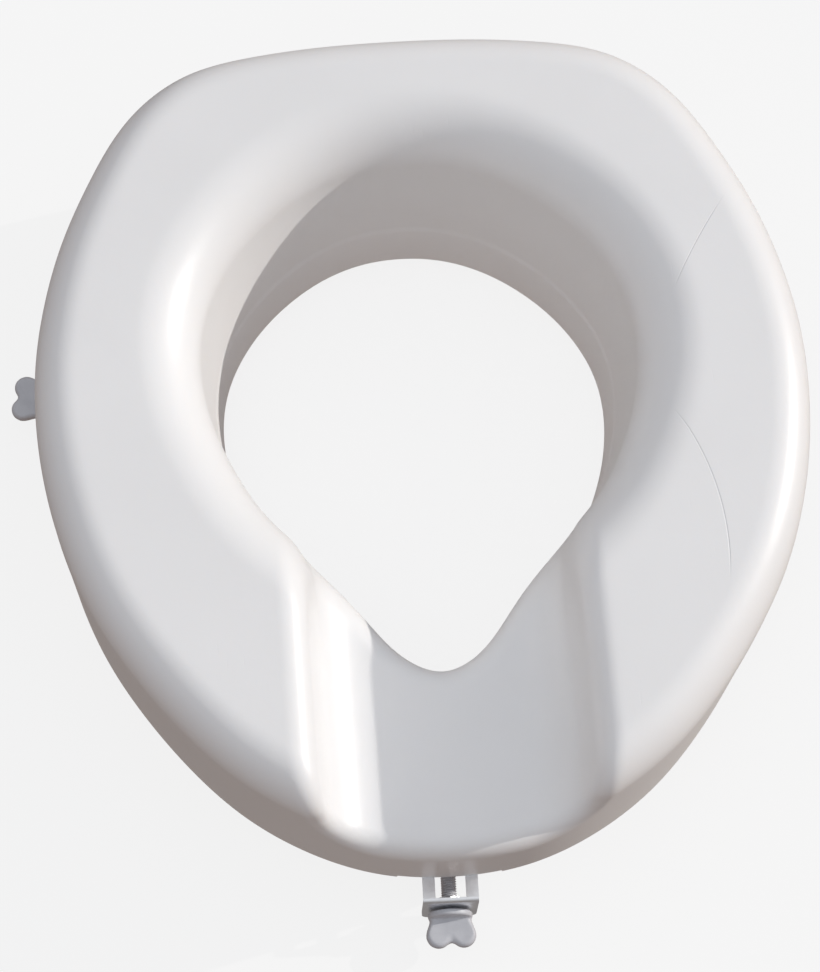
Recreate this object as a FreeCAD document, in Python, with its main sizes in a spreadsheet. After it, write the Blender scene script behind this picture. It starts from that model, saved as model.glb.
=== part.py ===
import FreeCAD, Part
import math
import os

# Raised toilet seat: a hollow moulded seat that stands on the bowl's rim, with a
# collar that drops into the bowl, a hygiene recess at the front, and three
# adjustable clamp brackets under the rim (front, left and right).
# +Z is up, -Y is the front, +X is the sitter's left hand when seated facing -Y.

V = FreeCAD.Vector
doc = FreeCAD.newDocument("RaisedToiletSeat")
sheet = doc.addObject("Spreadsheet::Sheet", "Sheet")

DIMS = [
    # seat body
    ("seat_rise", 100.0, "height of the sitting surface above the rim plane"),
    ("collar_depth", 25.0, "how far the collar drops below the rim plane"),
    ("outer_roll", 22.0, "rounding of the outer top edge"),
    ("inner_roll", 32.0, "rounding of the edge between top and funnel"),
    ("wall_thick", 3.0, "moulded wall"),
    ("wall_lean", 2.0, "inward lean of the outer wall at its foot"),
    ("funnel_top", 1.0, "outward lean of the funnel wall where its roll begins"),
    ("funnel_foot", 6.3, "inward lean of the funnel wall at its foot"),
    ("collar_grip", 11.3, "collar thickness at its foot"),
    ("recess_floor", 50.0, "height of the recess floor above the rim plane"),
    ("recess_foot_half", 58.0, "half width of the recess at its floor"),
    ("recess_top_half", 69.0, "half width of the recess at the top"),
    ("recess_ridge", 12.0, "rounding of the ridge beside the recess"),
    ("recess_fillet", 20.0, "fillet between recess wall and floor"),
    ("channel_width", 53.0, "bracket channel in the underside"),
    ("channel_deep", 2.5, "depth of the bracket channel"),
    ("boss_rad", 9.0, "solid boss round each threaded insert"),
    ("boss_high", 20.0, "top of the boss above the rim plane"),
    ("pad_long", 44.0, "anti-slip pad length"),
    ("pad_wide", 14.0, "anti-slip pad width"),
    ("pad_thick", 5.0, "anti-slip pad thickness"),
    ("pad_sink", 1.0, "depth of the pad's socket"),
    # place of the part frame's origin in the seat's own plan
    ("plan_back", 27.25, "distance from the plan datum back to the origin"),
    ("rim_height", 31.0, "height of the rim plane above the origin"),
    # bracket positions
    ("front_reach", 187.1, "front flange face ahead of the plan datum"),
    ("front_offset", 3.6, "front flange's centre beside the centre plane"),
    ("front_angle", 1.7, "turn of the front bracket"),
    ("side_reach", 198.2, "side flange face beside the centre plane"),
    ("side_station", 108.3, "side flange face behind the plan datum"),
    ("side_angle", 9.0, "turn of each side bracket towards the back"),
    # strap
    ("strap_width", 28.0, "strap width"),
    ("strap_thick", 2.0, "strap sheet thickness"),
    ("strap_top", 2.45, "upper face of the strap above the rim plane"),
    ("strap_long", 70.0, "length of the strap over the flange face"),
    ("flange_drop", 33.45, "height of the turned-down flange"),
    ("flange_corner", 6.0, "rounded lower corner of the flange"),
    ("bend_rad", 2.5, "outside radius of the bend"),
    ("slot_width", 15.6, "slot width"),
    ("slot_front", 2.6, "flange face to the slot's outer end"),
    ("slot_back", 64.0, "flange face to the slot's inner end"),
    # screw line
    ("screw_drop", 16.0, "wing screw axis below the rim plane"),
    ("shank_rad", 4.0, "wing screw thread, outside radius"),
    ("thread_gap", 0.06, "running clearance of the thread"),
    ("thread_pitch", 1.25, "thread pitch"),
    ("flange_hole", 4.6, "hole in the flange, radius"),
    ("nut_flats", 13.0, "weld nut across flats"),
    ("nut_high", 4.0, "weld nut height"),
    ("knob_gap", 1.2, "flange face to the knob collar"),
    ("knob_collar_rad", 11.25, "knob collar radius"),
    ("knob_collar_high", 3.2, "knob collar thickness"),
    ("wing_tip", 19.2, "flange face to the wing's tip"),
    ("wing_half", 12.6, "half width over the wings"),
    ("wing_waist", 10.8, "half width of the wings beside the collar"),
    ("wing_lobe", 6.2, "radius of each wing's lobe"),
    ("wing_dip", 2.2, "depth of the dip between the lobes"),
    ("wing_thick", 6.0, "wing thickness"),
    ("shank_end", 31.0, "flange face to the end of the full shank, inwards"),
    ("neck_rad", 2.5, "neck of the snap tip"),
    ("ball_rad", 3.2, "head of the snap tip"),
    ("tip_gap", 0.08, "running clearance of the snap tip"),
    ("foot_rad", 10.0, "pressure foot radius"),
    ("foot_hub_rad", 6.5, "pressure foot hub radius"),
    # clamp of the strap
    ("clamp_at", 40.0, "flange face to the clamp screw"),
    ("guide_long", 24.0, "guide washer across the strap"),
    ("guide_wide", 18.0, "guide washer along the strap"),
    ("guide_thick", 1.2, "guide washer plate"),
    ("guide_block_long", 12.0, "guide block along the slot"),
    ("guide_bore", 3.15, "guide washer bore radius"),
    ("clamp_rad", 2.95, "clamp screw shank radius"),
    ("clamp_head_rad", 5.75, "clamp screw head radius"),
    ("clamp_head_high", 2.3, "clamp screw head height"),
    ("clamp_long", 15.0, "clamp screw length under the head"),
    ("insert_rad", 4.5, "threaded insert, outside radius"),
    ("insert_bore", 3.0, "threaded insert, bore radius"),
    ("insert_long", 12.0, "threaded insert length"),
]
for row, (alias, value, note) in enumerate(DIMS, start=1):
    sheet.set("A%d" % row, note)
    sheet.set("B%d" % row, repr(value))
    sheet.setAlias("B%d" % row, alias)
doc.recompute()


def D(alias):
    return float(sheet.get(alias))


Z0 = D("rim_height")
YB = D("plan_back")

# Plan curves, right half, from the back round to the front, about the plan datum.
OUTLINE = [(0, 261), (37.6, 260.1), (76.2, 256.3), (112, 247.2), (143.5, 223.2), (165.0, 188.7),
           (180.3, 154.2), (190.5, 119.4), (196.0, 84.6), (196.4, 50), (192.5, 16.1), (184.4, -17.3),
           (171.8, -49.4), (154.4, -79.6), (133.0, -108.6), (107.0, -135.6), (75.3, -157.2),
           (39, -171.5), (0, -176)]
APERTURE = [(0, 192), (24.3, 189.2), (47, 180.6), (67.5, 167), (84.7, 150.3), (98, 131.3),
            (106.8, 110.8), (110.4, 89), (109.6, 69.5), (105.8, 50.5), (99.8, 33), (92.2, 16.5),
            (83, 1.4), (72.4, -11.2), (60.7, -22.6), (48.4, -35), (36.4, -50.1), (21, -68.6),
            (0, -78.5)]


def closed(pts, z=0.0):
    full = [V(x, y - YB, z + Z0) for x, y in pts]
    full += [V(-x, y - YB, z + Z0) for x, y in reversed(pts[1:-1])]
    c = Part.BSplineCurve()
    c.interpolate(Points=full, PeriodicFlag=True)
    return c


def offset(pts, d, n=16):
    """The plan curve moved outwards by d, as n + 1 points of its right half."""
    c = closed(pts)
    a = c.FirstParameter
    half = c.length(a, c.parameter(V(pts[-1][0], pts[-1][1] - YB, Z0)))
    out = []
    for i in range(n + 1):
        u = c.parameterAtDistance(half * i / n, a)
        p = c.value(u)
        g = c.tangent(u)[0]
        q = p + V(-g.y, g.x, 0) * d
        out.append((0.0 if i in (0, n) else q.x, q.y + YB))
    return out


def ring(pts, z):
    return Part.Wire([closed(pts, z).toShape()])


def loft(pts0, z0, pts1, z1):
    return Part.makeLoft([ring(pts0, z0), ring(pts1, z1)], True, True)


def rounded(a, b, c, r):
    """An arc of radius r in the corner a-b-c."""
    u = (a - b).normalize()
    w = (c - b).normalize()
    turn = math.acos(max(-1.0, min(1.0, u.dot(w))))
    d = r / math.tan(turn / 2)
    bis = (u + w).normalize()
    centre = b + bis * (r / math.sin(turn / 2))
    return b + u * d, centre - bis * r, b + w * d


def rolled(pts, d0, z0, d1, z1, r, way, steps=6):
    """A wall from offset d0 at z0 to d1 at z1, then a quarter roll, inwards (-1) or outwards (1)."""
    wall = loft(offset(pts, d0), z0, offset(pts, d1), z1)
    rings = []
    for i in range(steps + 1):
        a = math.pi / 2 * i / steps
        rings.append(ring(offset(pts, d1 + way * r * (1 - math.cos(a))), z1 + r * math.sin(a)))
    return wall.fuse(Part.makeLoft(rings, True, False))


def recess(floor, foot, top, ridge, fillet, ztop):
    """The recess's section, run forward from inside the aperture. Its ridge arcs run out
    just above the top, so that they meet it in a clean edge."""
    y0 = -20 - YB
    zt = ztop + 0.4 + Z0
    pts = [V(0, y0, floor + Z0), V(foot, y0, floor + Z0), V(top, y0, zt), V(top + 60, y0, zt)]
    a1, am, a2 = rounded(pts[0], pts[1], pts[2], fillet)
    b1, bm, b2 = rounded(pts[1], pts[2], pts[3], ridge)
    half = [Part.LineSegment(pts[0], a1).toShape(), Part.Arc(a1, am, a2).toShape(),
            Part.LineSegment(a2, b1).toShape(), Part.Arc(b1, bm, b2).toShape()]
    other = [e.mirror(V(0, 0, 0), V(1, 0, 0)) for e in half]
    up = V(0, 0, 6)
    lid = [Part.LineSegment(b2, b2 + up).toShape(),
           Part.LineSegment(b2 + up, V(-b2.x, y0, b2.z + 6)).toShape(),
           Part.LineSegment(V(-b2.x, y0, b2.z + 6), V(-b2.x, y0, b2.z)).toShape()]
    w = Part.Wire(Part.__sortEdges__(half + other + lid))
    return Part.Face(w).extrude(V(0, -215, 0))


def body(t):
    """The seat's solid, drawn in by t all round: t = 0 is its outer skin."""
    rise, foot, grip = D("seat_rise"), D("funnel_foot"), D("collar_grip")
    r = D("outer_roll") - t
    s = rolled(OUTLINE, -D("wall_lean") - t, t, -t, rise - t - r, r, -1)
    c0 = offset(APERTURE, grip - foot - t)
    c1 = offset(APERTURE, grip - foot + 3.0 - t)
    s = s.fuse(loft(c0, -D("collar_depth") + t, c1, t))
    r = D("inner_roll") - t
    s = s.cut(rolled(APERTURE, -foot + t, -D("collar_depth") - 1, D("funnel_top") + t, rise - t - r, r, 1))
    extra = t * 1.6
    return s.cut(recess(D("recess_floor") - extra, D("recess_foot_half") + extra, D("recess_top_half") + extra,
                        D("recess_ridge"), D("recess_fillet") + t, rise - t))


outer = body(0.0)
void = body(D("wall_thick"))


# Brackets: each has a local frame with +X outwards, its origin on the flange's
# outer face at the height of the rim plane.
def pose(x, y, degrees):
    return FreeCAD.Placement(V(x, y - YB, Z0), FreeCAD.Rotation(V(0, 0, 1), degrees))


POSES = {
    "front": pose(-D("front_offset"), -D("front_reach"), -90 - D("front_angle")),
    "left": pose(-D("side_reach"), D("side_station"), 180 - D("side_angle")),
    "right": pose(D("side_reach"), D("side_station"), D("side_angle")),
}

pad_places = []
for sx in (1, -1):
    for px, py, turn in ((130, -25, 60), (112, 190, -48)):
        pad_places.append((sx * px, py, turn if sx > 0 else 180 - turn))


def stadium(long, wide, z0, z1, x, y, turn):
    r = wide / 2
    s = Part.makeBox(long - wide, wide, z1 - z0, V(-(long - wide) / 2, -r, z0))
    for sx in (-1, 1):
        s = s.fuse(Part.makeCylinder(r, z1 - z0, V(sx * (long - wide) / 2, 0, z0)))
    s = s.removeSplitter()
    s.Placement = FreeCAD.Placement(V(x, y - YB, Z0), FreeCAD.Rotation(V(0, 0, 1), turn))
    return s


gap = D("wall_thick")
tools = []      # cut out of the outer skin
keeps = []      # kept out of the void, so that a wall stands round each tool
for name, pl in POSES.items():
    reach = {"front": 84.0, "left": 76.0, "right": 76.0}[name]
    ch = Part.makeBox(reach + 25, D("channel_width"), D("channel_deep") + 1, V(-reach, -D("channel_width") / 2, -1))
    well = Part.makeCylinder(D("insert_rad"), D("insert_long") + 1, V(-D("clamp_at"), 0, D("channel_deep") - 1))
    tools += [ch, well]
    wide = Part.makeBox(reach + 40, D("channel_width") + 2 * gap, D("channel_deep") + gap + 5,
                        V(-reach - gap, -D("channel_width") / 2 - gap, -5))
    boss = Part.makeCylinder(D("boss_rad"), D("boss_high") + 5, V(-D("clamp_at"), 0, -5))
    keeps += [wide, boss]
    for tool in (ch, well, wide, boss):
        tool.Placement = pl
for x, y, turn in pad_places:
    tools.append(stadium(D("pad_long"), D("pad_wide"), -1, D("pad_sink"), x, y, turn))
    keeps.append(stadium(D("pad_long") + 2 * gap, D("pad_wide") + 2 * gap, -5, D("pad_sink") + gap, x, y, turn))
shell = outer.cut(tools).cut(void.cut(keeps))

feature = doc.addObject("Part::Feature", "SeatShell")
feature.Label = "seat_shell"
feature.Shape = shell
nodes = [feature]


# The other pieces are primitives and booleans whose sizes come from the sheet.
TURN_X = FreeCAD.Rotation(V(0, 1, 0), 90)      # stands a cylinder or prism along +X


def prim(kind, name, sizes, at, turn=None):
    o = doc.addObject("Part::" + kind, name)
    for prop, expr in sizes.items():
        if isinstance(expr, str):
            o.setExpression(prop, expr)
        else:
            setattr(o, prop, expr)
    if turn is not None:
        o.Placement = FreeCAD.Placement(V(0, 0, 0), turn)
    for axis, expr in zip("xyz", at):
        if isinstance(expr, str):
            o.setExpression("Placement.Base." + axis, expr)
        elif expr:
            o.setExpression("Placement.Base." + axis, repr(float(expr)))
    return o


def fuse(name, *shapes):
    o = doc.addObject("Part::MultiFuse", name)
    o.Shapes = list(shapes)
    o.Refine = True
    return o


def cut(name, base, *tools):
    for i, tool in enumerate(tools):
        o = doc.addObject("Part::Cut", name if i == len(tools) - 1 else "%s_step%d" % (name, i))
        o.Base = base
        o.Tool = tool
        o.Refine = True
        base = o
    return base


def done(o, label, place=None):
    o.Label = label
    if place is not None:
        o.Placement = place
    nodes.append(o)
    return o


def strap(p):
    plate = prim("Box", p + "StrapPlate",
                 {"Length": "Sheet.strap_long - Sheet.bend_rad", "Width": "Sheet.strap_width",
                  "Height": "Sheet.strap_thick"},
                 ("-Sheet.strap_long", "-Sheet.strap_width / 2", "Sheet.strap_top - Sheet.strap_thick"))
    flange = prim("Box", p + "StrapFlange",
                  {"Length": "Sheet.strap_thick", "Width": "Sheet.strap_width",
                   "Height": "Sheet.flange_drop - Sheet.bend_rad"},
                  ("-Sheet.strap_thick", "-Sheet.strap_width / 2", "Sheet.strap_top - Sheet.flange_drop"))
    side = FreeCAD.Rotation(V(1, 0, 0), 90)
    where = ("-Sheet.bend_rad", "Sheet.strap_width / 2", "Sheet.strap_top - Sheet.bend_rad")
    bend = prim("Cylinder", p + "StrapBend",
                {"Radius": "Sheet.bend_rad", "Height": "Sheet.strap_width", "Angle": 90.0}, where, side)
    core = prim("Cylinder", p + "StrapBendCore",
                {"Radius": "Sheet.bend_rad - Sheet.strap_thick", "Height": "Sheet.strap_width"}, where, side)
    slot = prim("Box", p + "StrapSlot",
                {"Length": "Sheet.slot_back - Sheet.slot_front", "Width": "Sheet.slot_width",
                 "Height": "Sheet.strap_thick + 2"},
                ("-Sheet.slot_back", "-Sheet.slot_width / 2", "Sheet.strap_top - Sheet.strap_thick - 1"))
    hole = prim("Cylinder", p + "StrapHole", {"Radius": "Sheet.flange_hole", "Height": "Sheet.strap_thick + 2"},
                ("-Sheet.strap_thick - 1", 0, "-Sheet.screw_drop"), TURN_X)
    whole = fuse(p + "StrapBlank", plate, flange, cut(p + "StrapBendRing", bend, core))
    c = cut(p + "StrapCut", whole, slot, hole)
    doc.recompute()
    foot = D("strap_top") - D("flange_drop")
    low = []
    for i, e in enumerate(c.Shape.Edges, start=1):
        b = e.BoundBox
        if abs(b.XLength - D("strap_thick")) < 0.01 and b.YLength < 0.01 and abs(b.ZMin - foot) < 0.01:
            low.append((i, D("flange_corner"), D("flange_corner")))
    f = doc.addObject("Part::Fillet", p + "Strap")
    f.Base = c
    f.Edges = low
    return f


def flange_nut(p):
    hexa = prim("Prism", p + "NutHex", {"Polygon": 6, "Circumradius": "Sheet.nut_flats / sqrt(3)",
                                        "Height": "Sheet.nut_high"},
                ("-Sheet.strap_thick - Sheet.nut_high", 0, "-Sheet.screw_drop"), TURN_X)
    bore = prim("Cylinder", p + "NutBore", {"Radius": "Sheet.shank_rad + Sheet.thread_gap",
                                            "Height": "Sheet.nut_high + 2"},
                ("-Sheet.strap_thick - Sheet.nut_high - 1", 0, "-Sheet.screw_drop"), TURN_X)
    return cut(p + "Nut", hexa, bore)


def wing_screw(p):
    z = "-Sheet.screw_drop"
    shank = prim("Cylinder", p + "Shank", {"Radius": "Sheet.shank_rad",
                                           "Height": "Sheet.shank_end + Sheet.knob_gap + 1"},
                 ("-Sheet.shank_end", 0, z), TURN_X)
    neck = prim("Cylinder", p + "Neck", {"Radius": "Sheet.neck_rad", "Height": 6.0},
                ("-Sheet.shank_end - 5", 0, z), TURN_X)
    ball = prim("Cylinder", p + "SnapHead", {"Radius": "Sheet.ball_rad", "Height": 4.0},
                ("-Sheet.shank_end - 8", 0, z), TURN_X)
    collar = prim("Cylinder", p + "KnobCollar", {"Radius": "Sheet.knob_collar_rad",
                                                 "Height": "Sheet.knob_collar_high"},
                  ("Sheet.knob_gap", 0, z), TURN_X)
    face = "-Sheet.screw_drop - Sheet.wing_thick / 2"
    web = prim("Box", p + "WingWeb", {"Length": "Sheet.wing_tip - Sheet.knob_gap - Sheet.wing_lobe - 1.5",
                                      "Width": "2 * Sheet.wing_waist", "Height": "Sheet.wing_thick"},
               ("Sheet.knob_gap + 1", "-Sheet.wing_waist", face))
    bridge = prim("Box", p + "WingBridge", {"Length": "Sheet.wing_lobe + 3",
                                            "Width": "2 * (Sheet.wing_half - Sheet.wing_lobe)",
                                            "Height": "Sheet.wing_thick"},
                  ("Sheet.wing_tip - Sheet.wing_lobe - 3", "-(Sheet.wing_half - Sheet.wing_lobe)", face))
    lobes = []
    for side, sign in (("A", "-"), ("B", "")):
        lobes.append(prim("Cylinder", p + "Lobe" + side, {"Radius": "Sheet.wing_lobe", "Height": "Sheet.wing_thick"},
                          ("Sheet.wing_tip - Sheet.wing_lobe", sign + "(Sheet.wing_half - Sheet.wing_lobe)", face)))
    notch = prim("Cylinder", p + "WingNotch", {"Radius": 9.0, "Height": "Sheet.wing_thick + 2"},
                 ("Sheet.wing_tip + 9 - Sheet.wing_dip", 0, face + " - 1"))
    return cut(p + "WingScrew", fuse(p + "WingScrewBody", shank, neck, ball, collar, web, bridge, *lobes), notch)


def pressure_foot(p):
    z = "-Sheet.screw_drop"
    disc = prim("Cylinder", p + "FootDisc", {"Radius": "Sheet.foot_rad", "Height": 6.0},
                ("-Sheet.shank_end - 11", 0, z), TURN_X)
    hub = prim("Cylinder", p + "FootHub", {"Radius": "Sheet.foot_hub_rad", "Height": "5.7"},
               ("-Sheet.shank_end - 6", 0, z), TURN_X)
    throat = prim("Cylinder", p + "FootThroat", {"Radius": "Sheet.neck_rad + Sheet.tip_gap", "Height": 6.0},
                  ("-Sheet.shank_end - 5", 0, z), TURN_X)
    seat = prim("Cylinder", p + "FootSocket", {"Radius": "Sheet.ball_rad + Sheet.tip_gap", "Height": "4.2"},
                ("-Sheet.shank_end - 8.1", 0, z), TURN_X)
    return cut(p + "Foot", fuse(p + "FootBody", disc, hub), throat, seat)


def guide_washer(p):
    top = "Sheet.strap_top - Sheet.strap_thick - 0.05"
    plate = prim("Box", p + "GuidePlate", {"Length": "Sheet.guide_wide", "Width": "Sheet.guide_long",
                                           "Height": "Sheet.guide_thick"},
                 ("-Sheet.clamp_at - Sheet.guide_wide / 2", "-Sheet.guide_long / 2", top + " - Sheet.guide_thick"))
    block = prim("Box", p + "GuideBlock", {"Length": "Sheet.guide_block_long", "Width": "Sheet.slot_width - 0.2",
                                           "Height": "Sheet.strap_thick"},
                 ("-Sheet.clamp_at - Sheet.guide_block_long / 2", "-(Sheet.slot_width - 0.2) / 2", top))
    bore = prim("Cylinder", p + "GuideBore", {"Radius": "Sheet.guide_bore", "Height": 8.0},
                ("-Sheet.clamp_at", 0, top + " - 3"))
    return cut(p + "Guide", fuse(p + "GuideBody", plate, block), bore)


def clamp_screw(p):
    under = "Sheet.strap_top - Sheet.strap_thick - 0.05 - Sheet.guide_thick"
    head = prim("Cylinder", p + "ClampHead", {"Radius": "Sheet.clamp_head_rad", "Height": "Sheet.clamp_head_high"},
                ("-Sheet.clamp_at", 0, under + " - Sheet.clamp_head_high"))
    shank = prim("Cylinder", p + "ClampShank", {"Radius": "Sheet.clamp_rad", "Height": "Sheet.clamp_long + 1"},
                 ("-Sheet.clamp_at", 0, under + " - 1"))
    key = prim("Prism", p + "ClampKey", {"Polygon": 6, "Circumradius": "4 / sqrt(3)", "Height": "2.6"},
               ("-Sheet.clamp_at", 0, under + " - Sheet.clamp_head_high - 1"))
    return cut(p + "ClampScrew", fuse(p + "ClampBody", head, shank), key)


def insert(p):
    tube = prim("Cylinder", p + "InsertTube", {"Radius": "Sheet.insert_rad", "Height": "Sheet.insert_long"},
                ("-Sheet.clamp_at", 0, "Sheet.channel_deep"))
    bore = prim("Cylinder", p + "InsertBore", {"Radius": "Sheet.insert_bore", "Height": "Sheet.insert_long + 2"},
                ("-Sheet.clamp_at", 0, "Sheet.channel_deep - 1"))
    return cut(p + "Insert", tube, bore)


for name, pl in POSES.items():
    p = name.capitalize()
    done(strap(p), name + "_strap", pl)
    done(flange_nut(p), name + "_flange_nut", pl)
    done(wing_screw(p), name + "_wing_screw", pl)
    done(pressure_foot(p), name + "_pressure_foot", pl)
    done(guide_washer(p), name + "_guide_washer", pl)
    done(clamp_screw(p), name + "_clamp_screw", pl)
    done(insert(p), name + "_threaded_insert", pl)

pads = []
for i, (x, y, turn) in enumerate(pad_places):
    n = "RimPad%d" % i
    bar = prim("Box", n + "Bar", {"Length": "Sheet.pad_long - Sheet.pad_wide", "Width": "Sheet.pad_wide",
                                  "Height": "Sheet.pad_thick"},
               ("-(Sheet.pad_long - Sheet.pad_wide) / 2", "-Sheet.pad_wide / 2", "Sheet.pad_sink - Sheet.pad_thick"))
    ends = [prim("Cylinder", n + "End" + side, {"Radius": "Sheet.pad_wide / 2", "Height": "Sheet.pad_thick"},
                 (sign + "(Sheet.pad_long - Sheet.pad_wide) / 2", 0, "Sheet.pad_sink - Sheet.pad_thick"))
            for side, sign in (("A", "-"), ("B", ""))]
    f = fuse(n, bar, *ends)
    f.Placement = FreeCAD.Placement(V(x, y - YB, Z0), FreeCAD.Rotation(V(0, 0, 1), turn))
    pads.append(f)
group = doc.addObject("Part::Compound", "RimPads")
group.Links = pads
done(group, "rim_pads")

doc.recompute()

bad = [o.Name for o in doc.Objects if "Invalid" in o.State or "Error" in o.State]
if bad:
    raise SystemExit("failed objects: " + ", ".join(bad))
for o in nodes:
    if o.Shape.isNull() or not o.Shape.isValid() or not o.Shape.Solids:
        raise SystemExit("bad shape: " + o.Label)

os.makedirs("parts", exist_ok=True)
for o in nodes:
    o.Shape.exportStep("parts/%s.step" % o.Label)
    b = o.Shape.BoundBox
    print("%-24s solids %d  vol %8.2f cm3  x %7.1f %7.1f  y %7.1f %7.1f  z %6.1f %6.1f" % (
        o.Label, len(o.Shape.Solids), o.Shape.Volume / 1e3, b.XMin, b.XMax, b.YMin, b.YMax, b.ZMin, b.ZMax))
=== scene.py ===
import math

import bpy
import numpy as np
from mathutils import Matrix, Vector, kdtree


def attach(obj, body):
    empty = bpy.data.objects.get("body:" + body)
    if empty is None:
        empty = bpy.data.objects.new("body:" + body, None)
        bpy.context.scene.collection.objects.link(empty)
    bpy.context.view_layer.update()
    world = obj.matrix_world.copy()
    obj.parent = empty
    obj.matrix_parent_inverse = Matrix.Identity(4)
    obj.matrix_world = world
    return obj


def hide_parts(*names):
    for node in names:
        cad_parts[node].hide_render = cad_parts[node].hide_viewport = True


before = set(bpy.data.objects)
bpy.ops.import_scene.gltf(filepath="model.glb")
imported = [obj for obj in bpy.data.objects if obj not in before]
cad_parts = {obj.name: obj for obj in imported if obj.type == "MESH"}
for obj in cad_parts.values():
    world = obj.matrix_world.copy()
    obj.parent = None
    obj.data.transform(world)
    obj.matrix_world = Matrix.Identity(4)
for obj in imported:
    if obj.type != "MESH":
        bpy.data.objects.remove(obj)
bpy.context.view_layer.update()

BACK, RIM = 27.25, 31.0        # plan datum and rim plane in the part's frame, mm

# Plan curves, right half, from the back round to the front, about the plan datum.
OUTLINE = [(0, 261), (37.6, 260.1), (76.2, 256.3), (112, 247.2), (143.5, 223.2), (165.0, 188.7),
           (180.3, 154.2), (190.5, 119.4), (196.0, 84.6), (196.4, 50), (192.5, 16.1), (184.4, -17.3),
           (171.8, -49.4), (154.4, -79.6), (133.0, -108.6), (107.0, -135.6), (75.3, -157.2),
           (39, -171.5), (0, -176)]
APERTURE = [(0, 192), (24.3, 189.2), (47, 180.6), (67.5, 167), (84.7, 150.3), (98, 131.3),
            (106.8, 110.8), (110.4, 89), (109.6, 69.5), (105.8, 50.5), (99.8, 33), (92.2, 16.5),
            (83, 1.4), (72.4, -11.2), (60.7, -22.6), (48.4, -35), (36.4, -50.1), (21, -68.6),
            (0, -78.5)]


# ---------------------------------------------------------------- mesh helpers

def link(ob):
    bpy.context.scene.collection.objects.link(ob)
    return ob


def make(name, verts, faces, place=None, scale=0.001):
    """A mesh object from points in millimetres; place is a 4x4 in millimetres."""
    v = np.asarray(verts, float)
    if place is not None:
        v = v @ place[:3, :3].T + place[:3, 3]
    me = bpy.data.meshes.new(name)
    me.from_pydata((v * scale).tolist(), [], [list(map(int, f)) for f in faces])
    me.update()
    return link(bpy.data.objects.new(name, me))


def settle(ob):
    """Applies the object's modifiers to its mesh."""
    bpy.context.view_layer.update()
    dg = bpy.context.evaluated_depsgraph_get()
    me = bpy.data.meshes.new_from_object(ob.evaluated_get(dg))
    ob.modifiers.clear()
    old, ob.data = ob.data, me
    me.name = ob.name
    bpy.data.meshes.remove(old)
    return ob


def smooth(ob, degrees=38):
    me = ob.data
    me.polygons.foreach_set("use_smooth", [True] * len(me.polygons))
    me.set_sharp_from_angle(angle=math.radians(degrees))
    return ob


def bevel(ob, width, segments=2, degrees=40):
    m = ob.modifiers.new("edges", "BEVEL")
    m.width = width * 0.001
    m.segments = segments
    m.limit_method = "ANGLE"
    m.angle_limit = math.radians(degrees)
    m.use_clamp_overlap = True
    return ob


# ---------------------------------------------------------------- the seat's skin

def spline(pts, per=60):
    """The closed cubic through the plan points: samples and their outward normals."""
    p = np.array(pts + [(-x, y) for x, y in reversed(pts[1:-1])], float)
    n = len(p)
    nxt = np.roll(p, -1, 0)
    h = np.hypot(*(nxt - p).T)
    hm = np.roll(h, 1)
    i = np.arange(n)
    a = np.zeros((n, n))
    a[i, i] = 2 * (h + hm)
    a[i, (i + 1) % n] += h
    a[i, (i - 1) % n] += hm
    rhs = 6 * ((nxt - p) / h[:, None] - (p - np.roll(p, 1, 0)) / hm[:, None])
    m = np.linalg.solve(a, rhs)
    t = np.linspace(0, 1, per, endpoint=False)[None, :, None]
    s = 1 - t
    p0, p1, m0, m1, hh = p[:, None], nxt[:, None], m[:, None], np.roll(m, -1, 0)[:, None], h[:, None, None]
    q = s * p0 + t * p1 + hh ** 2 / 6 * ((s ** 3 - s) * m0 + (t ** 3 - t) * m1)
    g = (p1 - p0) / hh + hh / 6 * (-(3 * s ** 2 - 1) * m0 + (3 * t ** 2 - 1) * m1)
    q, g = q.reshape(-1, 2), g.reshape(-1, 2)
    g /= np.hypot(*g.T)[:, None]
    return q, np.stack([-g[:, 1], g[:, 0]], 1)


class Plan:
    """Signed distance to a plan curve, positive outside it, read from a 1 mm table."""

    def __init__(self, pts):
        q, n = spline(pts)
        tree = kdtree.KDTree(len(q))
        for i, (x, y) in enumerate(q.tolist()):
            tree.insert((x, y, 0.0), i)
        tree.balance()
        self.x0, self.y0 = 0.0, -200.0
        xs, ys = np.arange(0.0, 222.0), np.arange(-200.0, 290.0)
        near = np.array([[tree.find((x, y, 0.0))[1] for y in ys] for x in xs])
        gx, gy = np.meshgrid(xs, ys, indexing="ij")
        self.d = (gx - q[near, 0]) * n[near, 0] + (gy - q[near, 1]) * n[near, 1]

    def __call__(self, x, y):
        d = self.d
        u = np.clip(np.abs(x) - self.x0, 0, d.shape[0] - 1.001)
        v = np.clip(y - self.y0, 0, d.shape[1] - 1.001)
        i, j = u.astype(int), v.astype(int)
        u, v = u - i, v - j
        return (d[i, j] * (1 - u) * (1 - v) + d[i + 1, j] * u * (1 - v)
                + d[i, j + 1] * (1 - u) * v + d[i + 1, j + 1] * u * v)


def smax(a, b, r):
    """The larger of two distances, with a rounding of radius r where they meet."""
    return np.minimum(np.maximum(a, b), -r) + np.hypot(np.maximum(a + r, 0), np.maximum(b + r, 0))


def smin(a, b, r):
    return -smax(-a, -b, r)


def step(e0, e1, v):
    t = np.clip((v - e0) / (e1 - e0), 0, 1)
    return t * t * (3 - 2 * t)


outline, aperture = Plan(OUTLINE), Plan(APERTURE)


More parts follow.
